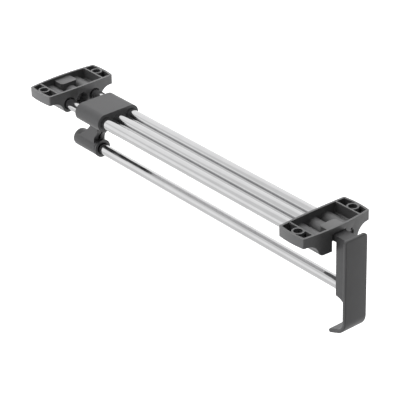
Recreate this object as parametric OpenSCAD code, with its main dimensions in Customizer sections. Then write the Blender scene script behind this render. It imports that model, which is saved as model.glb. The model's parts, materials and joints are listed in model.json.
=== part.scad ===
// Pull-out valet rod for the underside of a wardrobe shelf, closed position.
// Frame: X runs along the rods towards the handle, Y across, Z up.
// The origin is the centre of the four-screw pattern, in the plane of the shelf face.
// All lengths are in millimetres.

/* [Rods] */
// Outer diameter of every rod
rod_d = 10; // [9:0.1:11]
// Wall of the steel tube
rod_wall = 1; // [0.6:0.1:1.4]
// Distance between neighbouring upper rods
rod_pitch = 14; // [13.4:0.1:15]
// Depth of the upper rod axes under the shelf face
rod_drop = 12.5; // [12:0.1:14]
// Depth of the hanging rod axis under the shelf face
hang_drop = 52.1; // [48:0.1:70]

/* [Brackets] */
// Distance between the two bracket centres
bracket_span = 334; // [250:1:500]
// Length of a bracket across the rods
bracket_l = 70; // [68:0.5:80]
// Width of a bracket along the rods, at its corners
bracket_w = 29.2; // [28:0.2:34]
// Bulge of the outward long side
bow_out = 2.5; // [0.5:0.1:3]
// Bulge of the inward long side
bow_in = 0.8; // [0.2:0.1:1.5]
// Bulge of the short ends
bow_end = 1; // [0.2:0.1:1.6]
// Radius of the corners seen from above
corner_r = 1.6; // [1:0.1:3]
// Wall of the moulding
wall = 2; // [1.6:0.1:2.4]
// Height of the thin screw tabs at the ends
tab_h = 8.7; // [8:0.1:10]
// Plastic left under the guide rods
lobe_wall = 2.9; // [2.2:0.1:4]
// Length of the flat underside of a tab
tab_l = 4; // [3:0.1:5]
// Radius of the hollow curve between tab and rod housing
flare_r = 10.7; // [9.8:0.1:11.4]
// Radius of the lower edge of the rod housing
lobe_r = 5; // [4:0.1:6]
// Plastic round the rod tubes
tube_wall = 2; // [1.6:0.1:2.2]

/* [Screw mounts] */
// Distance of a screw hole from the end of its bracket
screw_inset = 6; // [5.5:0.1:6.6]
// Offset of the screw line outward from the bracket centre
screw_offset = 1.5; // [0:0.1:2]
// Diameter of the screw holes
screw_d = 4.5; // [3.5:0.1:5]
// Diameter of the open core over each screw hole
core_d = 7.5; // [6.5:0.1:8]
// Diameter of the seat for the screw head, in the underside
head_d = 9; // [8:0.1:9.5]
// Plastic between the head seat and the open core
screw_floor = 5.6; // [4.5:0.1:6.4]
// Wall of the screw boss
boss_wall = 1.5; // [1.2:0.1:1.6]
// Thickness of the rib beside each boss
rib_t = 1.5; // [1:0.1:1.8]

/* [Handle channel] */
// Half width of the channel in the outward half of a bracket
channel_half = 7.3; // [6.8:0.1:7.6]
// Wall of the channel
channel_wall = 1.2; // [1:0.1:1.6]
// Depth of the channel roof under the shelf face
roof_drop = 2.3; // [1.5:0.1:2.6]
// Thickness of the channel roof
roof_t = 2.7; // [2:0.1:3]
// Start of the channel, outward from the bracket centre
channel_start = 4.2; // [3:0.1:5]
// Cut across the inner corners of the channel roof
roof_cut = 1.8; // [0.5:0.1:2.5]
// Width of the spring tongue beside the channel mouth
tongue_w = 5.4; // [4:0.1:6]
// Height of the spring tongue
tongue_h = 4.5; // [3.5:0.1:5]
// Width of the slot beside the tongue
tongue_slot = 2; // [1.4:0.1:2.4]
// Height of the slot above the tongue's lower edge
slot_h = 2.4; // [1.5:0.1:3]
// Height of the window under the tongue
window_h = 3.5; // [2:0.1:4.5]
// Length of the window past the slot
window_end = 1.3; // [0.5:0.1:2]
// Depth of slot and window in the outward side
window_deep = 2; // [1:0.1:2.4]

/* [Slider] */
// Length of the slider
slider_l = 33.5; // [28:0.5:40]
// Half height of the slider section
slider_r = 8.2; // [7.8:0.1:8.8]
// Height of the slider section centre over the rod axes
slider_rise = 0.1; // [0:0.1:1]
// Clear space between the rear bracket and the slider when closed
slider_gap = 19.4; // [5:0.1:40]
// Wall of the plain bushes
bush_wall = 1; // [0.8:0.1:1.2]
// Length of the plain bushes
bush_l = 9; // [6:0.5:12]
// Plastic left behind the centre rod in the slider
socket_end = 4; // [3:0.5:8]

/* [Rod holder] */
// Length of the holder barrel
barrel_l = 34.7; // [28:0.1:40]
// Rear radius of the holder barrel
barrel_r_rear = 8.1; // [7.4:0.1:8.8]
// Front radius of the holder barrel
barrel_r_front = 8; // [7.5:0.1:8.8]
// Radius of the rounded rear edge of the barrel
barrel_round = 2.4; // [1:0.1:3.5]
// Distance that the barrel reaches back past the slider
barrel_back = 27; // [20:0.5:30]
// Radius added by the lip round the barrel mouth
lip_rise = 0.3; // [0.2:0.1:1]
// Width of the lip round the barrel mouth
lip_w = 1.8; // [1.5:0.1:4]
// Width of the groove behind the lip
groove_w = 0.9; // [0.4:0.1:1.5]
// Depth of the groove behind the lip
groove_deep = 0.5; // [0.2:0.1:0.8]
// Radial width of the recess in the barrel mouth
mouth_gap = 0.9; // [0.4:0.1:1.2]
// Depth of the recess in the barrel mouth
mouth_deep = 2; // [1:0.1:4]
// Thickness of the neck across the rods
neck_t = 12.2; // [10:0.1:14]
// Width of the slot in the front of the neck
neck_slot = 2.6; // [2:0.1:4]
// Plastic behind the slot in the neck
neck_web = 3.4; // [2:0.1:5]

/* [Handle] */
// Gap between the bracket's outward side and the block of the handle
handle_gap = 3.2; // [1:0.1:8]
// Depth of the block behind the grip plate
block_x = 13.1; // [12:0.1:20]
// Thickness of the block across the rods
block_w = 12.4; // [12:0.1:14]
// Width of the grip plate
plate_w = 23.2; // [18:0.1:30]
// Thickness of the grip plate
plate_t = 3.6; // [2.4:0.1:4.4]
// Gap between shelf face and grip plate
plate_drop = 2.1; // [0.3:0.1:3]
// Gap between the channel roof and the arm of the handle
arm_gap = 0.4; // [0.3:0.1:0.8]
// Height of the arm between handle and centre rod
arm_h = 5.8; // [5:0.1:8]
// Width of the arm across the rods
arm_w = 12; // [10:0.1:12.4]
// Radius of the upper corners of the plate
plate_corner = 3; // [1:0.1:5]
// Plastic under the hanging rod in the block
block_wall = 2.2; // [1.6:0.1:3]
// Radius of the hollow curve under the block
block_fillet = 13; // [6:0.5:13]
// Height of the straight plate, down to where the finger lip bends
plate_h = 77.1; // [74:0.1:95]
// Outer radius of the bend into the finger lip
bend_r = 13.4; // [9:0.1:14]
// Angle through which the lip bends
bend_angle = 69; // [50:1:80]
// Straight length of the finger lip after the bend
lip_l = 8.6; // [4:0.1:10]
// Wall of the cored block
core_wall = 1.8; // [1.4:0.1:2.2]

/* [Fits] */
// Radial running clearance of the sliding fits
run_gap = 0.05; // [0.03:0.01:0.08]
// Radial clearance of rods and bushes in their sockets
seat_gap = 0.05; // [0.02:0.01:0.08]
// Space left at the stops at each end of the travel
stop_gap = 0.3; // [0.2:0.05:0.6]
// Diameter of the cross pins
pin_d = 2.5; // [2:0.1:3]
// Radial clearance round the cross pins
pin_gap = 0.05; // [0.02:0.01:0.08]

/* [Hidden] */
$fn = 64;

// Overrun of cuts past the faces that they open
over = 0.5;
rod_r = rod_d / 2;
tube_r = rod_r + tube_wall;
bush_r = rod_r + bush_wall;
pin_r = pin_d / 2;
half_l = bracket_l / 2;
half_w = bracket_w / 2;
housing_h = rod_drop + rod_r + lobe_wall;
screw_pitch = bracket_l - 2 * screw_inset;
// Centres of the hollow curve and of the housing's rounded lower edge, which touch each other
flare_y = half_l - tab_l;
flare_z = -tab_h - flare_r;
lobe_z = lobe_r - housing_h;
lobe_y = flare_y - sqrt(pow(flare_r + lobe_r, 2) - pow(lobe_z - flare_z, 2));
face_in = half_w + bow_in;
face_out = half_w + bow_out;
front_x = bracket_span / 2;
rear_x = -bracket_span / 2;
// Depth of the screw head seat under the shelf face
seat_drop = tab_h;
socket_deep = 3;
bracket_rod_end = half_w - wall;
boss_r = core_d / 2 + boss_wall;
roof_half = channel_half + channel_wall;
roof_start = channel_start - channel_wall;
channel_top = roof_drop + roof_t;
pin_x = half_w / 2;

slider_x0 = rear_x + face_in + slider_gap;
slider_x1 = slider_x0 + slider_l;
slider_z = slider_rise - rod_drop;
slider_half = rod_pitch + slider_r;
slider_bottom = slider_z - slider_r;

barrel_x0 = slider_x0 - barrel_back;
barrel_x1 = barrel_x0 + barrel_l;
barrel_end = 4;

block_x0 = front_x + face_out + handle_gap;
plate_x0 = block_x0 + block_x;
plate_x1 = plate_x0 + plate_t;
arm_top = channel_top + arm_gap;
arm_bottom = arm_top + arm_h;
block_bottom = hang_drop + rod_r + block_wall;
head_x0 = front_x + channel_start + stop_gap;
head_l = 3.7;
head_wall = 1;
head_r = rod_r + head_wall;
rod_in_head = 2.7;
spigot_l = 14;

// Points of a circular arc, angles in degrees
function arc(c, r, a0, a1, n = 8) =
    [for (i = [0 : n]) let (a = a0 + (a1 - a0) * i / n) [c[0] + r * cos(a), c[1] + r * sin(a)]];

// Points of a quadratic curve from a to b, drawn towards c
function curve(a, c, b, n = 10) =
    [for (i = [0 : n]) let (t = i / n) a * pow(1 - t, 2) + c * 2 * t * (1 - t) + b * pow(t, 2)];

// Points along a bulging side: from a to b, with the bulge along the direction d
function side(a, b, d, n = 14) =
    [for (i = [1 : n - 1]) let (t = i / n) a * (1 - t) + b * t + d * 4 * t * (1 - t)];

// A bracket's outline from above, drawn in by a margin
module bracket_plan(margin = 0) {
    r = max(corner_r - margin, corner_r / 4);
    w = half_w - margin;
    l = half_l - margin;
    polygon(concat(
        arc([w - r, l - r], r, 0, 90),
        side([w - r, l], [r - w, l], [0, bow_end]),
        arc([r - w, l - r], r, 90, 180),
        side([-w, l - r], [-w, r - l], [-bow_in, 0]),
        arc([r - w, r - l], r, 180, 270),
        side([r - w, -l], [w - r, -l], [0, -bow_end]),
        arc([w - r, r - l], r, 270, 360),
        side([w, r - l], [w, l - r], [bow_out, 0])));
}

// A bracket's outline along the rods: thin tabs that curve down to the rod housing
module bracket_side(margin = 0) {
    reach = half_l + bow_end + over;
    touch_z = lobe_z - (lobe_z - flare_z) * (lobe_r - margin) / (flare_r + lobe_r);
    for (s = [-1, 1]) translate([s * lobe_y, lobe_z]) circle(lobe_r - margin);
    translate([-lobe_y, margin - housing_h]) square([2 * lobe_y, housing_h - margin + over]);
    difference() {
        translate([-reach, touch_z]) square([2 * reach, over - touch_z]);
        for (s = [-1, 1]) {
            translate([s * flare_y, flare_z]) circle(flare_r + margin);
            translate([s * (flare_y + reach) / 2 - (reach - flare_y) / 2, -housing_h])
                square([reach - flare_y, housing_h - tab_h + margin]);
        }
    }
}

// A solid of a bracket's outline from above and along the rods
module bracket_blank(margin = 0, top = 0) {
    intersection() {
        translate([0, 0, -housing_h]) linear_extrude(housing_h + top) bracket_plan(margin);
        rotate([90, 0, 90]) translate([0, 0, -face_out - over])
            linear_extrude(2 * (face_out + over)) bracket_side(margin);
    }
}

// A cylinder along X
module bar(r, x0, x1) {
    translate([x0, 0, 0]) rotate([0, 90, 0]) cylinder(r = r, h = x1 - x0);
}

// The plastic round one rod inside a bracket, which fills the space under it
module rod_tube(y, x0, x1) {
    translate([0, y, -rod_drop]) bar(tube_r, x0, x1);
    translate([x0, y - tube_r, -housing_h]) cube([x1 - x0, 2 * tube_r, housing_h - rod_drop]);
}

// The roofed channel in which the handle's arm moves
module channel_box() {
    c = roof_cut;
    x1 = face_out;
    translate([0, 0, -housing_h]) linear_extrude(housing_h - roof_drop)
        polygon([[roof_start + c, -roof_half], [x1, -roof_half], [x1, roof_half],
            [roof_start + c, roof_half], [roof_start, roof_half - c], [roof_start, c - roof_half]]);
}

// What stands inside the open pocket of a bracket
module bracket_ribs() {
    for (s = [-1, 1]) {
        rod_tube(s * rod_pitch, -face_in, face_out);
        translate([screw_offset, s * screw_pitch / 2, -housing_h]) cylinder(r = boss_r, h = housing_h);
        translate([-face_in, s * (screw_pitch / 2 - boss_r + rib_t / 2) - rib_t / 2, -housing_h])
            cube([face_in + face_out, rib_t, housing_h]);
    }
    rod_tube(0, -face_in, channel_start);
    channel_box();
}

// Slot and window that free the spring tongue beside the mouth of the channel
module tongue_cut() {
    x = face_out - window_deep;
    y = channel_half + tongue_w;
    z = -channel_top - tongue_h;
    translate([x, y, z - over]) cube([window_deep + over, tongue_slot, slot_h + over]);
    translate([x, channel_half, z - window_h])
        cube([window_deep + over, tongue_w + tongue_slot + window_end, window_h]);
}

// One bracket about its own centre, with +X outward
module bracket_form() {
    difference() {
        bracket_blank();
        difference() {
            bracket_blank(wall, over);
            bracket_ribs();
        }
        for (s = [-1, 1]) {
            // Guide rod sockets, open on the inward side
            translate([0, s * rod_pitch, -rod_drop]) {
                bar(rod_r + seat_gap, -face_in - over, bracket_rod_end + seat_gap);
                bar(bush_r, -face_in - over, socket_deep - face_in);
            }
            // Screw hole, open core above it and head seat below it
            translate([screw_offset, s * screw_pitch / 2, 0]) {
                translate([0, 0, -housing_h]) cylinder(d = screw_d, h = housing_h + over);
                translate([0, 0, screw_floor - seat_drop]) cylinder(d = core_d, h = seat_drop);
                translate([0, 0, -housing_h]) cylinder(d = head_d, h = housing_h - seat_drop);
            }
            // Hole for the pin that holds the guide rod
            translate([pin_x, s * rod_pitch, -housing_h - over])
                cylinder(r = pin_r + pin_gap, h = housing_h + over - rod_drop);
        }
        tongue_cut();
        // Centre bore with its bush seat
        translate([0, 0, -rod_drop]) {
            bar(rod_r + 5 * run_gap, -face_in - over, channel_start + over);
            bar(bush_r + seat_gap, -face_in - over, bush_l - face_in);
        }
        translate([channel_start, -channel_half, -housing_h - over])
            cube([face_out, 2 * channel_half, housing_h + over - channel_top]);
    }
}

module rear_bracket() {
    color("#3b3d40") translate([rear_x, 0, 0]) rotate([0, 0, 180]) bracket_form();
}

module front_bracket() {
    color("#3b3d40") translate([front_x, 0, 0]) bracket_form();
}

// A steel tube along X, at a place across and a depth
module steel_tube(y, drop, x0, x1) {
    color("#c9cbcd") translate([0, y, -drop]) difference() {
        bar(rod_r, x0, x1);
        bar(rod_r - rod_wall, x0 - over, x1 + over);
    }
}

module guide_rod(s) {
    difference() {
        steel_tube(s * rod_pitch, rod_drop, rear_x - bracket_rod_end, front_x + bracket_rod_end);
        for (x = [rear_x - pin_x, front_x + pin_x]) translate([x, s * rod_pitch, -rod_drop - rod_d])
            cylinder(r = pin_r + pin_gap, h = rod_d);
    }
}

module guide_rod_left() { guide_rod(-1); }
module guide_rod_right() { guide_rod(1); }

// A pin driven up into a rod from below
module upward_pin(x, y, bottom, drop) {
    color("#8e9194") translate([x, y, bottom]) cylinder(r = pin_r, h = -drop - rod_r / 2 - bottom);
}

module guide_pin(x, s) { upward_pin(x, s * rod_pitch, -housing_h, rod_drop); }

module rear_pin_left() { guide_pin(rear_x - pin_x, -1); }
module rear_pin_right() { guide_pin(rear_x - pin_x, 1); }
module front_pin_left() { guide_pin(front_x + pin_x, -1); }
module front_pin_right() { guide_pin(front_x + pin_x, 1); }

// A plain bush along X
module bush(x0, y) {
    color("#232426") translate([0, y, -rod_drop]) difference() {
        bar(bush_r, x0, x0 + bush_l);
        bar(rod_r + run_gap, x0 - over, x0 + bush_l + over);
    }
}

module centre_guide_bush() { bush(front_x - face_in, 0); }
module slider_bush_front_left() { bush(slider_x1 - bush_l, -rod_pitch); }
module slider_bush_front_right() { bush(slider_x1 - bush_l, rod_pitch); }
module slider_bush_rear_left() { bush(slider_x0, -rod_pitch); }
module slider_bush_rear_right() { bush(slider_x0, rod_pitch); }

// The flat-topped oval section of the slider
module slider_section() {
    for (s = [-1, 1]) translate([s * rod_pitch, 0]) circle(slider_r);
    translate([-rod_pitch, -slider_r]) square([2 * rod_pitch, 2 * slider_r]);
}

// Where the pins hold the rods in the slider, the holder and the handle
slider_pin_x = slider_x1 - slider_l / 3;
holder_pin_x = barrel_x0 + barrel_l / 3;
handle_pin_x = block_x0 + block_x / 2;
head_pin_x = head_x0 + rod_in_head / 2;

// Places of the neck's edges from the rear end of the slider, at its top, bends and foot
neck_rear_top = 2;
neck_rear_bend = 1;
neck_rear_turn = 7.4;
neck_rear_low = 21.9;
neck_front_top = 9;
neck_front_mid = 6;
neck_front_low = 3;
// Heights of those bends, as shares of the height from the neck's foot to its top
neck_rear_shares = [0.66, 0.53, 0.36];
neck_front_shares = [0.5, 0.4, 0.31, 0.22, 0.08];

// Outline of the neck between slider and holder, seen from the side
function neck_outline(margin = 0, open = 0) =
    let (top = slider_bottom + slider_r / 2, low = -hang_drop + barrel_r_rear / 2,
        rear = slider_x0 + margin, front = slider_x0 + open,
        rz = [for (k = neck_rear_shares) low + (top - low) * k],
        fz = [for (k = neck_front_shares) low + (top - low) * k],
        mid = [front + neck_front_mid, fz[2]])
    concat([[rear - neck_rear_low, low]],
        curve([rear - neck_rear_turn, rz[2]], [rear - neck_rear_bend, rz[1]], [rear, rz[0]]),
        [[rear + neck_rear_top, top]], [[front + neck_front_top, top]],
        curve([front + neck_front_top, fz[0]], [front + neck_front_top, fz[1]], mid),
        curve(mid, [front + neck_front_low, fz[3]], [front + neck_front_low, fz[4]]),
        [[front + neck_front_low, low]]);

module neck() {
    translate([0, neck_t / 2, 0]) rotate([90, 0, 0]) linear_extrude(neck_t)
        polygon(neck_outline());
}

// The slot in the neck, open to the front
module neck_hollow() {
    intersection() {
        translate([0, neck_slot / 2, 0]) rotate([90, 0, 0]) linear_extrude(neck_slot)
            polygon(neck_outline(neck_web, slider_l));
        translate([slider_x0 - barrel_back, -neck_slot / 2, -hang_drop + barrel_r_front])
            cube([barrel_back + slider_l, neck_slot, hang_drop - barrel_r_front + slider_bottom]);
    }
}

// Barrel of the holder: rounded at the rear, with a lip round its mouth
module barrel() {
    m = barrel_l - lip_w;
    low = barrel_r_front - groove_deep;
    high = barrel_r_front + lip_rise;
    translate([barrel_x0, 0, -hang_drop]) rotate([0, 90, 0]) rotate_extrude()
        polygon(concat([[0, 0]],
            arc([barrel_r_rear - barrel_round, barrel_round], barrel_round, -90, 0, 6),
            [[barrel_r_front, m - groove_w], [low, m - groove_w], [low, m], [high, m],
                [high, barrel_l], [0, barrel_l]]));
}

module slider_body() {
    color("#46484b") difference() {
        union() {
            translate([slider_x0, 0, slider_z]) rotate([90, 0, 90])
                linear_extrude(slider_l) slider_section();
            difference() {
                neck();
                neck_hollow();
            }
            barrel();
        }
        for (s = [-1, 1]) translate([0, s * rod_pitch, -rod_drop]) {
            bar(rod_r + 5 * run_gap, slider_x0 - over, slider_x1 + over);
            bar(bush_r + seat_gap, slider_x0 - over, slider_x0 + bush_l);
            bar(bush_r + seat_gap, slider_x1 - bush_l, slider_x1 + over);
        }
        translate([0, 0, -rod_drop]) bar(rod_r + seat_gap, slider_x0 + socket_end, slider_x1 + over);
        translate([0, 0, -hang_drop]) {
            bar(rod_r + seat_gap, barrel_x0 + barrel_end, barrel_x1 + over);
            bar(rod_r + mouth_gap, barrel_x1 - mouth_deep, barrel_x1 + over);
        }
        translate([slider_pin_x, 0, slider_bottom - over])
            cylinder(r = pin_r + pin_gap, h = over - slider_bottom - rod_drop);
        translate([holder_pin_x, 0, -hang_drop - barrel_r_front - over])
            cylinder(r = pin_r + pin_gap, h = barrel_r_front + over);
    }
}

module centre_rod() {
    difference() {
        steel_tube(0, rod_drop, slider_x0 + socket_end, head_x0 + rod_in_head);
        for (x = [slider_pin_x, head_pin_x]) translate([x, 0, -rod_drop - rod_d])
            cylinder(r = pin_r + pin_gap, h = rod_d);
    }
}

module hanging_rod() {
    difference() {
        steel_tube(0, hang_drop, barrel_x0 + barrel_end, plate_x0 - core_wall);
        for (x = [holder_pin_x, handle_pin_x]) translate([x, 0, -hang_drop - rod_d])
            cylinder(r = pin_r + pin_gap, h = rod_d);
    }
}

module centre_rod_slider_pin() { upward_pin(slider_pin_x, 0, slider_bottom, rod_drop); }
module centre_rod_handle_pin() { upward_pin(head_pin_x, 0, -rod_drop - head_r, rod_drop); }
module hanging_rod_holder_pin() {
    upward_pin(holder_pin_x, 0, -hang_drop - rod_r - rod_wall, hang_drop);
}
module hanging_rod_handle_pin() { upward_pin(handle_pin_x, 0, -block_bottom, hang_drop); }

// Side view of the grip plate with its finger lip
module grip_profile() {
    c = [plate_x1 - bend_r, -plate_h];
    in_r = bend_r - plate_t;
    a = -bend_angle;
    mid = bend_r - plate_t / 2;
    tip = [c[0] + mid * cos(a) + lip_l * sin(a), c[1] + mid * sin(a) - lip_l * cos(a)];
    polygon(concat([[plate_x0, -plate_drop]],
        [[plate_x1, -plate_drop]],
        arc(c, bend_r, 0, a, 14),
        arc(tip, plate_t / 2, a, a - 180, 8),
        arc(c, in_r, a, 0, 14)));
}

// Front view of the grip plate
module grip_front() {
    r = plate_corner;
    half = plate_w / 2;
    low = plate_h + bend_r + over;
    translate([-half, -low]) square([plate_w, low - plate_drop - r]);
    translate([r - half, -low]) square([plate_w - 2 * r, low - plate_drop]);
    for (s = [-1, 1]) translate([s * (half - r), -plate_drop - r]) circle(r);
}

module grip() {
    intersection() {
        translate([0, plate_w / 2, 0]) rotate([90, 0, 0]) linear_extrude(plate_w) grip_profile();
        rotate([90, 0, 90]) linear_extrude(plate_x1 + over) grip_front();
    }
}

// Block behind the plate, which carries the arm above and the hanging rod below
module handle_block() {
    f = block_fillet;
    translate([0, block_w / 2, 0]) rotate([90, 0, 0]) linear_extrude(block_w) polygon(concat(
        [[block_x0, -arm_top], [plate_x0 + over, -arm_top], [plate_x0 + over, -block_bottom - f]],
        arc([plate_x0 - f, -block_bottom - f], f, 0, 90, 8),
        [[block_x0, -block_bottom]]));
}

// Arm in the bracket's channel, with the head that takes the centre rod
module handle_arm() {
    translate([head_x0, -arm_w / 2, -arm_bottom]) cube([block_x0 - head_x0 + over, arm_w, arm_h]);
    translate([0, 0, -rod_drop]) bar(head_r, head_x0, head_x0 + head_l);
}

// Hollow core of the block, open to the rear between the arm and the rod socket
module block_core() {
    half = block_w / 2 - core_wall;
    top = arm_bottom + core_wall;
    low = hang_drop - rod_r - core_wall;
    h = (low - top - core_wall) / 2;
    for (z = [top + h, low]) translate([block_x0 - over, -half, -z])
        cube([block_x + over - core_wall, 2 * half, h]);
}

module handle() {
    color("#3f4144") difference() {
        union() {
            grip();
            handle_block();
            difference() {
                handle_arm();
                translate([0, 0, -rod_drop])
                    bar(rod_r + seat_gap, head_x0 - over, head_x0 + rod_in_head);
            }
            translate([0, 0, -rod_drop])
                bar(rod_r - rod_wall - seat_gap, head_x0 - spigot_l, head_x0 + head_l);
        }
        block_core();
        translate([0, 0, -hang_drop]) bar(rod_r + seat_gap, block_x0 - over, plate_x0 - core_wall);
        translate([head_pin_x, 0, -rod_drop - head_r - over])
            cylinder(r = pin_r + pin_gap, h = head_r + over);
        translate([handle_pin_x, 0, -block_bottom - over])
            cylinder(r = pin_r + pin_gap, h = block_bottom + over - hang_drop);
    }
}

rear_bracket();
front_bracket();
guide_rod_left();
guide_rod_right();
rear_pin_left();
rear_pin_right();
front_pin_left();
front_pin_right();
centre_guide_bush();
slider_body();
slider_bush_front_left();
slider_bush_front_right();
slider_bush_rear_left();
slider_bush_rear_right();
centre_rod();
centre_rod_slider_pin();
centre_rod_handle_pin();
hanging_rod();
hanging_rod_holder_pin();
hanging_rod_handle_pin();
handle();
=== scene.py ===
"""Looks of a pull-out valet rod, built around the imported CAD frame.

The rod hangs under a shelf: two moulded brackets hold two fixed guide rods, and a carriage of
slider, centre rod, hanging rod and pull handle runs along them.  Sizes here are in metres, in the
frame of the CAD: X along the rods towards the handle, Y across them, Z up into the shelf.
"""
import json
import logging
from dataclasses import dataclass, field
from enum import Enum

import bmesh
import bpy
import numpy as np
from mathutils import Matrix, Vector


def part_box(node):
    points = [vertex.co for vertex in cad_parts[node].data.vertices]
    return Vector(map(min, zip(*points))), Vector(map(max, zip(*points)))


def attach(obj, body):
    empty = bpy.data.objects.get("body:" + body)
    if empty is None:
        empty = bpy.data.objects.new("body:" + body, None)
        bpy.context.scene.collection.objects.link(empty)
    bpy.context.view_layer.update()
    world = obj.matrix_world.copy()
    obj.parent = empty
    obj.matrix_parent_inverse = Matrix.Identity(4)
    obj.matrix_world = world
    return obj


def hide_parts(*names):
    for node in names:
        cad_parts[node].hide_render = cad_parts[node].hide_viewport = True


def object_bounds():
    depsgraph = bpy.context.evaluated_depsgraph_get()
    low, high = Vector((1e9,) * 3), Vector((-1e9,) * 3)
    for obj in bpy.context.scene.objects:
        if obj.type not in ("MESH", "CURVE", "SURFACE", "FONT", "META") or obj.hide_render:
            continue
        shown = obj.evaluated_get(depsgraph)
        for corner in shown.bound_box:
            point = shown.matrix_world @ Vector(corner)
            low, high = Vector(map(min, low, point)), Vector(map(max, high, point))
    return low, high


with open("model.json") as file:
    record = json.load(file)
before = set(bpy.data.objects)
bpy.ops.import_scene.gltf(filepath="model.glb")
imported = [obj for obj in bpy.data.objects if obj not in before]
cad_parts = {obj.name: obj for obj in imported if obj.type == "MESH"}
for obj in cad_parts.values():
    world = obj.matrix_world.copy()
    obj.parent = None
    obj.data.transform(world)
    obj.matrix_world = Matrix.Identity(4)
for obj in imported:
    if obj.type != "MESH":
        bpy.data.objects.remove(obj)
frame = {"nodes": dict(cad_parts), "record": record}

LOG = logging.getLogger("valet_rod")
CAD_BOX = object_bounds()
MM = 0.001
HAIR = 0.01 * MM
MERGE = 0.002 * MM
EDGE_DEGREES = 35.0
ROUND_DEGREES = 50.0
FLAT_DEGREES = 0.6
Point = tuple[float, float, float]


class Body(Enum):
    """The rigid bodies that pieces ride on."""

    FIXED = "frame"
    MOVING = "carriage"


class Axis(Enum):
    """Directions that turned pieces can lie in, as indices of the frame's axes."""

    ALONG = 0
    UP = 2


@dataclass(frozen=True)
class Lamp:
    """One soft rectangular lamp of the studio."""

    name: str
    place: Point
    aim: Point
    width: float
    height: float
    power: float
    seen_in_gloss: bool = True


@dataclass(frozen=True)
class PlasticFinish:
    """Moulded plastic with a fine spark-eroded skin and slightly uneven tone."""

    name: str
    tone: tuple[float, float, float]
    roughness: float = 0.40
    specular: float = 0.55
    grain: float = 1600.0
    grain_height: float = 0.012 * MM
    grain_detail: float = 2.0
    cloud: float = 45.0
    cloud_detail: float = 4.0
    cloud_share: float = 0.10
    roughness_spread: float = 0.05

    def build(self) -> bpy.types.Material:
        """Builds tone, roughness and skin from two noises on Object coordinates.

        Returns:
            The material.
        """
        kit = NodeKit(self.name)
        place = kit.add("ShaderNodeTexCoord").outputs["Object"]
        cloud = kit.noise(place, self.cloud, self.cloud_detail)
        grain = kit.noise(place, self.grain, self.grain_detail)
        dark = tuple(c * (1.0 - self.cloud_share) for c in self.tone)
        light = tuple(c * (1.0 + self.cloud_share) for c in self.tone)
        kit.ramp(cloud, dark, light, "Base Color")
        spread = self.roughness_spread
        kit.level(cloud, self.roughness - spread, self.roughness + spread, "Roughness")
        kit.bump(grain, self.grain_height)
        kit.shader.inputs["Specular IOR Level"].default_value = self.specular
        return kit.material


@dataclass(frozen=True)
class SteelFinish:
    """Plated or bare steel, drawn along X, with faint lengthwise lines in its gloss."""

    name: str
    tone: tuple[float, float, float]
    roughness: float
    line_pitch: float = 2600.0
    line_detail: float = 3.0
    line_share: float = 0.25
    stretch: float = 0.012
    line_height: float = 0.0006 * MM
    haze: float = 60.0
    haze_detail: float = 3.0
    haze_share: float = 0.04

    def build(self) -> bpy.types.Material:
        """Builds gloss from a noise on Object coordinates that is stretched along X.

        Returns:
            The material.
        """
        kit = NodeKit(self.name)
        place = kit.add("ShaderNodeTexCoord").outputs["Object"]
        mapping = kit.add("ShaderNodeMapping")
        mapping.inputs["Scale"].default_value = (self.stretch, 1.0, 1.0)
        kit.links.new(place, mapping.inputs["Vector"])
        lines = kit.noise(mapping.outputs["Vector"], self.line_pitch, self.line_detail)
        haze = kit.noise(place, self.haze, self.haze_detail)
        dull = tuple(c * (1.0 - self.haze_share) for c in self.tone)
        kit.ramp(haze, dull, self.tone, "Base Color")
        less, more = self.roughness * (1.0 - self.line_share), self.roughness * (1.0 + self.line_share)
        kit.level(lines, less, more, "Roughness")
        kit.bump(lines, self.line_height)
        kit.shader.inputs["Metallic"].default_value = 1.0
        return kit.material


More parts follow.
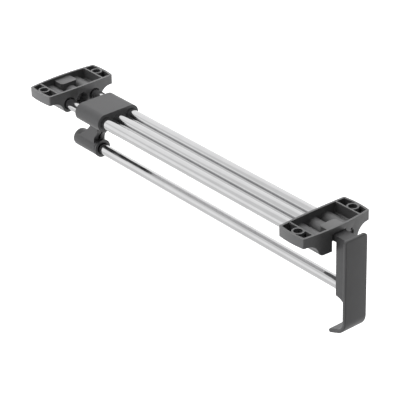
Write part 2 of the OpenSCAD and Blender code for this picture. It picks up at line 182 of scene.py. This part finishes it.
class NodeKit:
    """A material's node tree with the few joins that the finishes share."""

    ramp_stops = (0.35, 0.65)
    level_from = (0.3, 0.7)

    def __init__(self, name: str) -> None:
        """Starts a material with one Principled shader.

        Args:
            name: the record's material slot that the finish belongs to.
        """
        self.material = bpy.data.materials.new(name + "_look")
        self.material["slot"] = name
        self.material.use_nodes = True
        self.links = self.material.node_tree.links
        self.shader = self.material.node_tree.nodes["Principled BSDF"]

    def add(self, kind: str) -> bpy.types.Node:
        """Returns a new node of the given kind."""
        return self.material.node_tree.nodes.new(kind)

    def noise(self, place: bpy.types.NodeSocket, scale: float, detail: float) -> bpy.types.NodeSocket:
        """Returns the value of a noise pattern.

        Args:
            place: the coordinates that the pattern reads.
            scale: repeats in a metre.
            detail: how many finer octaves it holds.

        Returns:
            The pattern's socket.
        """
        node = self.add("ShaderNodeTexNoise")
        node.inputs["Scale"].default_value = scale
        node.inputs["Detail"].default_value = detail
        self.links.new(place, node.inputs["Vector"])
        return node.outputs["Fac"]

    def ramp(self, value: bpy.types.NodeSocket, low: tuple, high: tuple, target: str) -> None:
        """Blends two colours by a value into a socket of the shader.

        Args:
            value: the socket of the pattern.
            low: the colour where the pattern is low.
            high: the colour where the pattern is high.
            target: the shader's socket.
        """
        node = self.add("ShaderNodeValToRGB")
        for stop, at, colour in zip(node.color_ramp.elements, self.ramp_stops, (low, high)):
            stop.position = at
            stop.color = (*colour, 1.0)
        self.links.new(value, node.inputs["Fac"])
        self.links.new(node.outputs["Color"], self.shader.inputs[target])

    def level(self, value: bpy.types.NodeSocket, low: float, high: float, target: str) -> None:
        """Spreads a value between two numbers into a socket of the shader.

        Args:
            value: the socket of the pattern.
            low: the number where the pattern is low.
            high: the number where the pattern is high.
            target: the shader's socket.
        """
        node = self.add("ShaderNodeMapRange")
        numbers = (*self.level_from, low, high)
        for socket, number in zip(("From Min", "From Max", "To Min", "To Max"), numbers):
            node.inputs[socket].default_value = number
        self.links.new(value, node.inputs["Value"])
        self.links.new(node.outputs["Result"], self.shader.inputs[target])

    def bump(self, value: bpy.types.NodeSocket, height: float) -> None:
        """Raises the surface by a value times a height.

        Args:
            value: the socket of the pattern.
            height: the height, in metres.
        """
        node = self.add("ShaderNodeBump")
        node.inputs["Distance"].default_value = height
        self.links.new(value, node.inputs["Height"])
        self.links.new(node.outputs["Normal"], self.shader.inputs["Normal"])


class Finishes:
    """The finishes of the valet rod, built once and shared by its pieces."""

    def __init__(self) -> None:
        """Builds each material."""
        # Brackets, slider and handle are one black plastic: the brackets' tone, over twice the others', is
        # painted light standing in for the brighter light that falls on the brackets.
        self.bracket = PlasticFinish("bracket_plastic", (0.150, 0.150, 0.152)).build()
        self.slider = PlasticFinish("slider_plastic", (0.064, 0.064, 0.066)).build()
        self.handle = PlasticFinish("handle_plastic", (0.066, 0.066, 0.068)).build()
        self.bush = PlasticFinish("bush_plastic", (0.02, 0.02, 0.022), roughness=0.35).build()
        self.rod = SteelFinish("polished_rod", (0.540, 0.540, 0.545), 0.09).build()
        self.pin = SteelFinish("pin_steel", (0.50, 0.50, 0.52), 0.30).build()


def put_mesh(name: str, points: np.ndarray, quads: np.ndarray) -> bpy.types.Object:
    """Makes an object at the origin from a table of points and four-sided faces.

    Args:
        name: the piece's name.
        points: an array of n rows of x, y, z.
        quads: an array of m rows of four point numbers.

    Returns:
        The linked object, with its faces pointing outwards.
    """
    a, b, c, d = (points[quads[:, k]] for k in range(4))
    volume = (a * (np.cross(b, c) + np.cross(c, d))).sum()
    if volume < 0.0:
        quads = quads[:, ::-1]
    mesh = bpy.data.meshes.new(name)
    mesh.vertices.add(len(points))
    mesh.vertices.foreach_set("co", points.astype(np.float32).ravel())
    mesh.loops.add(quads.size)
    mesh.loops.foreach_set("vertex_index", quads.astype(np.int32).ravel())
    mesh.polygons.add(len(quads))
    mesh.polygons.foreach_set("loop_start", np.arange(0, quads.size, 4, dtype=np.int32))
    mesh.update(calc_edges=True)
    mesh.validate()
    piece = bpy.data.objects.new(name, mesh)
    bpy.context.scene.collection.objects.link(piece)
    return piece


def ring_quads(rows: int, columns: int) -> np.ndarray:
    """Joins the points of a grid that closes on itself in both directions.

    Args:
        rows: points along the profile.
        columns: points round the circle.

    Returns:
        The faces, as rows of four point numbers.
    """
    r, c = np.meshgrid(np.arange(rows), np.arange(columns), indexing="ij")
    up, right = (r + 1) % rows, (c + 1) % columns
    corners = (r * columns + c, r * columns + right, up * columns + right, up * columns + c)
    return np.stack([k.ravel() for k in corners], axis=1)


def turned(name: str, profile: np.ndarray, origin: np.ndarray, axis: Axis,
           sides: int = 96) -> bpy.types.Object:
    """Turns a closed profile about an axis.

    Each point is origin + s * axis + r * (cos t * u + sin t * v), where s and r run round the
    profile, t runs round the full circle, and u and v are the two other directions of the frame.

    Args:
        name: the piece's name.
        profile: rows of s, the way along the axis, and r, the radius.
        origin: the point of the axis where s is zero.
        axis: the direction of the axis.
        sides: steps round the circle.

    Returns:
        The turned piece.
    """
    t = np.linspace(0.0, 2.0 * np.pi, sides, endpoint=False)
    along = np.eye(3)[axis.value]
    u, v = (np.eye(3)[k] for k in range(3) if k != axis.value)
    rim = np.cos(t)[None, :, None] * u + np.sin(t)[None, :, None] * v
    points = origin + profile[:, 0, None, None] * along + profile[:, 1, None, None] * rim
    return put_mesh(name, points.reshape(-1, 3), ring_quads(len(profile), sides))


def rounded_corners(corners: np.ndarray, radius: float, steps: int = 4) -> np.ndarray:
    """Rounds each corner of a closed outline with a quadratic curve.

    Point k of a corner is (1-t)^2 * a + 2t(1-t) * corner + t^2 * b, where a and b lie one radius
    back and one radius on from the corner, or at most two fifths of the side.

    Args:
        corners: rows of two coordinates.
        radius: how far the rounding reaches along each side.
        steps: the points of each rounding, less one.

    Returns:
        The rounded outline.
    """
    before, after = np.roll(corners, 1, axis=0), np.roll(corners, -1, axis=0)

    def pulled(other: np.ndarray) -> np.ndarray:
        """Steps from each corner a radius along its side.

        Args:
            other: each corner's neighbour.

        Returns:
            The points.
        """
        side = other - corners
        length = np.linalg.norm(side, axis=1, keepdims=True)
        return corners + side / length * np.minimum(radius, 0.4 * length)

    t = np.linspace(0.0, 1.0, steps + 1)[None, :, None]
    a, b = pulled(before)[:, None], pulled(after)[:, None]
    return ((1 - t) ** 2 * a + 2 * t * (1 - t) * corners[:, None] + t**2 * b).reshape(-1, 2)


def smooth(piece: bpy.types.Object, sharp_degrees: float = EDGE_DEGREES) -> None:
    """Shades a piece smoothly, apart from its sharp edges.

    Args:
        piece: the piece.
        sharp_degrees: the angle above which an edge stays sharp.
    """
    mesh = piece.data
    mesh.polygons.foreach_set("use_smooth", np.ones(len(mesh.polygons), bool))
    mesh.set_sharp_from_angle(angle=np.radians(sharp_degrees))


def close_up(piece: bpy.types.Object) -> None:
    """Merges a piece's doubled points and turns its faces outwards.

    Args:
        piece: the piece.
    """
    work = bmesh.new()
    work.from_mesh(piece.data)
    bmesh.ops.remove_doubles(work, verts=work.verts, dist=MERGE / 2.0)
    bmesh.ops.recalc_face_normals(work, faces=work.faces)
    work.to_mesh(piece.data)
    work.free()


def cut_off(work: bmesh.types.BMesh, place: Point, normal: Point) -> None:
    """Cuts away what lies past a plane, and closes the cut.

    Args:
        work: the mesh that is cut.
        place: a point of the plane.
        normal: the direction of the side that goes.
    """
    everything = work.verts[:] + work.edges[:] + work.faces[:]
    cut = bmesh.ops.bisect_plane(work, geom=everything, plane_co=place, plane_no=normal,
                                 dist=1e-7, clear_outer=True)
    edges = [k for k in cut["geom_cut"] if isinstance(k, bmesh.types.BMEdge)]
    bmesh.ops.holes_fill(work, edges=edges)


def eased_copy(node: str, name: str, ease: float,
               keep: tuple[float, float] | None = None) -> bpy.types.Object:
    """Copies a CAD node, merges its loose triangles and rounds its edges.

    Args:
        node: the CAD node.
        name: the copy's name.
        ease: the width of the rounding, in metres.
        keep: the highest x and the lowest z of the part that is kept, or none to keep it all.

    Returns:
        The copy, which rides on nothing yet.
    """
    source = frame["nodes"][node]
    mesh = source.data.copy()
    work = bmesh.new()
    work.from_mesh(mesh)
    bmesh.ops.remove_doubles(work, verts=work.verts, dist=MERGE)
    if keep:
        cut_off(work, (keep[0] - HAIR, 0.0, 0.0), (1.0, 0.0, 0.0))
        cut_off(work, (0.0, 0.0, keep[1]), (0.0, 0.0, -1.0))
    flat = np.radians(FLAT_DEGREES)
    bmesh.ops.dissolve_limit(work, angle_limit=flat, verts=work.verts, edges=work.edges)
    work.to_mesh(mesh)
    work.free()
    piece = bpy.data.objects.new(name, mesh)
    piece.data.materials.clear()
    bpy.context.scene.collection.objects.link(piece)
    smooth(piece)
    bevel = piece.modifiers.new("eased edges", "BEVEL")
    bevel.width = ease
    bevel.segments = 3
    bevel.limit_method = "ANGLE"
    bevel.angle_limit = np.radians(EDGE_DEGREES)
    bevel.miter_outer = "MITER_ARC"
    bevel.use_clamp_overlap = True
    bevel.harden_normals = True
    return piece


def dress(piece: bpy.types.Object, material: bpy.types.Material, body: Body, node: str) -> None:
    """Gives a new piece its finish and its body, and hides the CAD node that it stands for.

    Args:
        piece: the piece.
        material: its finish, which also names its slot.
        body: the body that it rides on.
        node: the CAD node that it replaces.
    """
    piece.data.materials.clear()
    piece.data.materials.append(material)
    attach(piece, body.value)
    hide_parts(node)
    LOG.info("%s rides on %s, %d faces", piece.name, body.value, len(piece.data.polygons))


@dataclass
class TurnedParts:
    """Tubes, bushes and pins: everything on the valet rod that is round about an axis."""

    finishes: Finishes
    rod_wall: float = 1.0 * MM
    rod_chamfer: float = 0.35 * MM
    bush_ease: float = 0.2 * MM
    pin_ease: float = 0.3 * MM
    pin_sides: int = 48
    bush_wall: float = 0.95 * MM
    bodies: dict[str, str] = field(default_factory=dict)

    def sleeve(self, node: str, wall: float, ease: float, axis: Axis) -> bpy.types.Object:
        """Builds a hollow turned piece in the box of a CAD node.

        Args:
            node: the CAD node that gives length, place and outer radius.
            wall: the sleeve's wall.
            ease: the rounding of its four edges.
            axis: the direction of its axis.

        Returns:
            The sleeve.
        """
        low, high = (np.array(k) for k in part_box(node))
        centre = (low + high) / 2.0
        origin = centre.copy()
        origin[axis.value] = low[axis.value]
        length = (high - low)[axis.value]
        outer = (high - low)[1] / 2.0
        inner = outer - wall
        corners = np.array([[0.0, inner], [0.0, outer], [length, outer], [length, inner]])
        piece = turned(node + "_turned", rounded_corners(corners, ease), origin, axis)
        smooth(piece, ROUND_DEGREES)
        return piece

    def plug(self, node: str) -> bpy.types.Object:
        """Builds a solid upright pin in the box of a CAD node, with eased ends.

        Args:
            node: the CAD node that gives length, place and radius.

        Returns:
            The pin.
        """
        low, high = (np.array(k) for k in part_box(node))
        radius = (high - low)[1] / 2.0
        length = (high - low)[2]
        origin = np.array([(low[0] + high[0]) / 2.0, (low[1] + high[1]) / 2.0, low[2]])
        corners = np.array([[0.0, MERGE], [0.0, radius], [length, radius], [length, MERGE]])
        piece = turned(node + "_turned", rounded_corners(corners, self.pin_ease), origin, Axis.UP, self.pin_sides)
        smooth(piece, ROUND_DEGREES)
        return piece

    def build(self) -> None:
        """Builds every round piece in the place of its CAD node."""
        for node, body in self.bodies.items():
            on = Body(body)
            if "pin" in node:
                dress(self.plug(node), self.finishes.pin, on, node)
            elif "bush" in node:
                bush = self.sleeve(node, self.bush_wall, self.bush_ease, Axis.ALONG)
                dress(bush, self.finishes.bush, on, node)
            elif node.endswith("rod") or node.startswith("guide_rod"):
                rod = self.sleeve(node, self.rod_wall, self.rod_chamfer, Axis.ALONG)
                dress(rod, self.finishes.rod, on, node)


@dataclass
class Mouldings:
    """Brackets, slider and handle, with the eased edges of a moulded part."""

    finishes: Finishes
    bracket_ease: float = 0.30 * MM
    slider_ease: float = 0.35 * MM
    block_ease: float = 0.45 * MM

    def build(self) -> None:
        """Builds brackets, slider and the handle's block in the places of their CAD nodes."""
        for node in ("rear_bracket", "front_bracket"):
            piece = eased_copy(node, node + "_moulding", self.bracket_ease)
            dress(piece, self.finishes.bracket, Body.FIXED, node)
        slider = eased_copy("slider_body", "slider_moulding", self.slider_ease)
        dress(slider, self.finishes.slider, Body.MOVING, "slider_body")
        behind_plate = GripPlate.front - GripPlate.thickness
        foot = -GripPlate.straight + GripPlate.under_block
        block = eased_copy("handle", "handle_block", self.block_ease, (behind_plate, foot))
        dress(block, self.finishes.handle, Body.MOVING, "handle")


@dataclass
class GripPlate:
    """The handle's plate: straight down from under the shelf, then bent back into a finger lip."""

    finishes: Finishes
    front: float = 204.0 * MM
    thickness: float = 3.6 * MM
    width: float = 23.2 * MM
    top: float = 2.1 * MM
    straight: float = 76.3 * MM
    bend_radius: float = 13.4 * MM
    bend_degrees: float = 69.0
    lip: float = 8.6 * MM
    corner: float = 3.0 * MM
    ease: float = 1.15 * MM
    under_block: float = 3.9 * MM
    thinnest: float = 0.02 * MM
    tip_rows: int = 9
    corner_rows: int = 12
    straight_rows: int = 12
    bend_rows: int = 28
    lip_rows: int = 5
    edge_points: int = 7

    def path(self) -> tuple[np.ndarray, np.ndarray, np.ndarray]:
        """Works out the plate's centre line from its top to the tip of its lip.

        The line runs straight down, then round an arc about a point behind it, at half a
        thickness less than the outer radius, and then straight on.

        Returns:
            The points as rows of x and z, the unit normals towards the front, and the way along.
        """
        half = self.thickness / 2.0
        middle = self.bend_radius - half
        turn = np.radians(self.bend_degrees)
        lengths = np.array([self.straight - self.top, middle * turn, self.lip + half])
        ends = np.cumsum(lengths)
        fine = half * (1.0 - np.cos(np.linspace(0.0, np.pi / 2.0, self.tip_rows)))
        rounding = self.corner * (1.0 - np.cos(np.linspace(0.0, np.pi / 2.0, self.corner_rows)))
        way = np.concatenate([
            fine,
            rounding,
            np.linspace(self.corner, ends[0], self.straight_rows),
            np.linspace(ends[0], ends[1], self.bend_rows),
            np.linspace(ends[1], ends[2] - half, self.lip_rows),
            ends[2] - fine,
        ])
        way = np.unique(way.round(7))
        angle = -np.clip((way - ends[0]) / middle, 0.0, turn)
        normal = np.stack([np.cos(angle), np.sin(angle)], axis=1)
        down = np.stack([np.sin(angle), -np.cos(angle)], axis=1)
        centre = np.array([self.front - self.bend_radius, -self.straight])
        points = centre + middle * normal + np.minimum(way - ends[0], 0.0)[:, None] * down
        points += np.maximum(way - ends[1], 0.0)[:, None] * down
        return points, normal, way

    def build(self) -> None:
        """Sweeps a rounded rectangle along the centre line.

        At a way s from an end, the section is drawn in by e - sqrt(e^2 - (e - s)^2), where e is the
        rounding of the edges (half the thickness at the lip's tip), and at the top the half width
        also loses c - sqrt(c^2 - (c - s)^2), where c is the radius of the plate's corners.
        """
        points, normal, way = self.path()
        half = self.thickness / 2.0

        def drawn_in(reach: float, s: np.ndarray) -> np.ndarray:
            """Measures how far a quarter round draws in near its end.

            Args:
                reach: the radius of the round.
                s: ways from the end.

            Returns:
                The distances, by reach - sqrt(reach^2 - (reach - s)^2).
            """
            rest = np.clip(reach - s, 0.0, reach)
            return reach - np.sqrt(reach**2 - rest**2)

        from_tip = way[-1] - way
        thin = drawn_in(self.ease, way) + drawn_in(half * 0.999, from_tip)
        slim = np.maximum(drawn_in(self.corner, way), drawn_in(self.ease, way))
        slim = slim + drawn_in(self.ease, from_tip)
        quarter = np.linspace(0.0, 90.0, self.edge_points)
        t = np.radians((quarter + 90.0 * np.arange(4)[:, None]).ravel())
        sign_w = np.repeat([1.0, -1.0, -1.0, 1.0], self.edge_points)
        sign_t = np.repeat([1.0, 1.0, -1.0, -1.0], self.edge_points)
        deep = np.maximum(half - thin, self.thinnest)[:, None]
        radius = np.minimum(self.ease, deep)
        across = sign_w * (self.width / 2.0 - slim[:, None] - radius) + radius * np.cos(t)
        outward = sign_t * (deep - radius) + radius * np.sin(t)
        grid = np.empty((len(way), len(t), 3))
        grid[..., 0] = points[:, None, 0] + outward * normal[:, None, 0]
        grid[..., 1] = across
        grid[..., 2] = points[:, None, 1] + outward * normal[:, None, 1]
        rows, columns = grid.shape[:2]
        r, c = np.meshgrid(np.arange(rows - 1), np.arange(columns), indexing="ij")
        right = (c + 1) % columns
        here, below = r * columns, (r + 1) * columns
        quads = np.stack([k.ravel() for k in (here + c, here + right, below + right, below + c)], axis=1)
        caps = [[base + k, base + k + 1, base + columns - 2 - k, base + columns - 1 - k]
                for base in (0, (rows - 1) * columns) for k in range(columns // 2 - 1)]
        piece = put_mesh("grip_plate", grid.reshape(-1, 3), np.concatenate([quads, np.array(caps)]))
        close_up(piece)
        smooth(piece, ROUND_DEGREES)
        dress(piece, self.finishes.handle, Body.MOVING, "handle")


@dataclass
class PhotoCamera:
    """The camera at the photograph's place, worked out from the object's corners."""

    place: Point = (1.11248, -0.88035, 0.73773)
    right: Point = (0.63570117, 0.77151838, -0.02536554)
    ahead: Point = (-0.68175858, 0.54572379, -0.48722764)
    lens: float = 171.48
    sensor: float = 36.0
    farthest: float = 20.0

    def build(self) -> None:
        """Builds the camera, and gives it to the scene."""
        data = bpy.data.cameras.new("photo_camera")
        data.lens = self.lens
        data.sensor_width = self.sensor
        data.clip_end = self.farthest
        camera = bpy.data.objects.new("photo_camera", data)
        bpy.context.scene.collection.objects.link(camera)
        right, back = Vector(self.right), -Vector(self.ahead)
        turn = Matrix((right, back.cross(right), back)).transposed().to_4x4()
        camera.matrix_world = Matrix.Translation(self.place) @ turn
        bpy.context.scene.camera = camera


@dataclass
class Studio:
    """White surroundings, a pale floor far below and soft lamps.

    The light from the rear right comes from two lamps in one place, and gloss shows only the weaker
    of them: all of it, added to the white surroundings, would bring the rods close to white.
    """

    ambient: float = 0.06
    floor_drop: float = 0.55
    floor_half: float = 30.0
    floor_glow: float = 0.8
    floor_tone: float = 0.85
    floor_roughness: float = 0.9
    lamps: tuple[Lamp, ...] = (
        Lamp("rear_top_lamp", (-0.965, 0.0, 1.231), (0.02, 0.0, -0.03), 2.20, 2.20, 30.0, False),
        Lamp("rear_right_lamp", (-1.180, 0.870, 0.700), (0.02, 0.0, -0.03), 3.20, 2.20, 7.0),
        Lamp("rear_right_fill", (-1.180, 0.870, 0.700), (0.02, 0.0, -0.03), 3.20, 2.20, 9.0, False),
        Lamp("rear_left_lamp", (-1.062, -1.082, 0.138), (0.02, 0.0, -0.03), 1.80, 1.00, 2.0),
        Lamp("left_lamp", (-0.350, -0.900, -0.330), (-0.10, 0.0, -0.03), 0.80, 0.40, 6.5, False),
        Lamp("front_right_lamp", (0.620, 1.100, -0.366), (0.02, 0.0, -0.03), 0.80, 0.50, 9.0, False),
    )

    def sky(self) -> None:
        """Builds a world that is white to the camera and in gloss, and gives even grey light."""
        world = bpy.data.worlds.new("studio_world")
        world.use_nodes = True
        bpy.context.scene.world = world
        nodes, links = world.node_tree.nodes, world.node_tree.links
        path = nodes.new("ShaderNodeLightPath")
        seen = nodes.new("ShaderNodeMath")
        seen.operation = "MAXIMUM"
        links.new(path.outputs["Is Camera Ray"], seen.inputs[0])
        links.new(path.outputs["Is Glossy Ray"], seen.inputs[1])
        also = nodes.new("ShaderNodeMath")
        also.operation = "MAXIMUM"
        links.new(seen.outputs[0], also.inputs[0])
        links.new(path.outputs["Is Transmission Ray"], also.inputs[1])
        level = nodes.new("ShaderNodeMapRange")
        level.inputs["To Min"].default_value = self.ambient
        level.inputs["To Max"].default_value = 1.0
        links.new(also.outputs[0], level.inputs["Value"])
        background = nodes["Background"]
        background.inputs["Color"].default_value = (1.0, 1.0, 1.0, 1.0)
        links.new(level.outputs["Result"], background.inputs["Strength"])

    def floor(self) -> None:
        """Builds the pale floor, with the object's shadow.

        To the camera the lit floor's own glow is added to its light, so it looks white where the
        lamps reach it.  In gloss it is as white as the world.
        """
        z = CAD_BOX[0][2] - self.floor_drop
        half = self.floor_half
        points = np.array([[-half, -half, z], [half, -half, z], [half, half, z], [-half, half, z]])
        mesh = bpy.data.meshes.new("floor")
        mesh.from_pydata(points.tolist(), [], [(0, 1, 2, 3)])
        floor = bpy.data.objects.new("floor", mesh)
        bpy.context.scene.collection.objects.link(floor)
        material = bpy.data.materials.new("pale_floor")
        material.use_nodes = True
        nodes, links = material.node_tree.nodes, material.node_tree.links
        shader = nodes["Principled BSDF"]
        shader.inputs["Base Color"].default_value = (*[self.floor_tone] * 3, 1.0)
        shader.inputs["Roughness"].default_value = self.floor_roughness
        path = nodes.new("ShaderNodeLightPath")
        glow = nodes.new("ShaderNodeEmission")
        level = nodes.new("ShaderNodeMath")
        level.operation = "MULTIPLY"
        level.inputs[1].default_value = self.floor_glow
        links.new(path.outputs["Is Camera Ray"], level.inputs[0])
        links.new(level.outputs[0], glow.inputs["Strength"])
        seen = nodes.new("ShaderNodeAddShader")
        links.new(shader.outputs[0], seen.inputs[0])
        links.new(glow.outputs[0], seen.inputs[1])
        mirrored = nodes.new("ShaderNodeMath")
        mirrored.operation = "MAXIMUM"
        links.new(path.outputs["Is Glossy Ray"], mirrored.inputs[0])
        links.new(path.outputs["Is Transmission Ray"], mirrored.inputs[1])
        white = nodes.new("ShaderNodeEmission")
        mix = nodes.new("ShaderNodeMixShader")
        links.new(mirrored.outputs[0], mix.inputs[0])
        links.new(seen.outputs[0], mix.inputs[1])
        links.new(white.outputs[0], mix.inputs[2])
        links.new(mix.outputs[0], nodes["Material Output"].inputs["Surface"])
        floor.data.materials.append(material)

    def light(self, lamp: Lamp) -> None:
        """Hangs one lamp, aimed at its point.

        Args:
            lamp: the lamp.
        """
        data = bpy.data.lights.new(lamp.name, "AREA")
        data.shape = "RECTANGLE"
        data.size, data.size_y = lamp.width, lamp.height
        data.energy = lamp.power
        hung = bpy.data.objects.new(lamp.name, data)
        bpy.context.scene.collection.objects.link(hung)
        hung.location = lamp.place
        way = Vector(lamp.aim) - Vector(lamp.place)
        hung.rotation_euler = way.to_track_quat("-Z", "Y").to_euler()
        hung.visible_camera = False
        hung.visible_glossy = lamp.seen_in_gloss

    def build(self) -> None:
        """Builds world, floor and lamps."""
        self.sky()
        self.floor()
        for lamp in self.lamps:
            self.light(lamp)
            LOG.info("%s gives %.1f W", lamp.name, lamp.power)
        bpy.context.scene.view_settings.view_transform = "Standard"


def main() -> None:
    """Builds camera, studio and every piece in order."""
    logging.basicConfig(level=logging.INFO, format="%(name)s: %(message)s")
    PhotoCamera().build()
    Studio().build()
    finishes = Finishes()
    groups = frame["record"]["behaviour"]["bodies"]
    bodies = {node: body for body, nodes in groups.items() for node in nodes}
    Mouldings(finishes).build()
    GripPlate(finishes).build()
    TurnedParts(finishes, bodies=bodies).build()


if __name__ == "__main__":
    main()
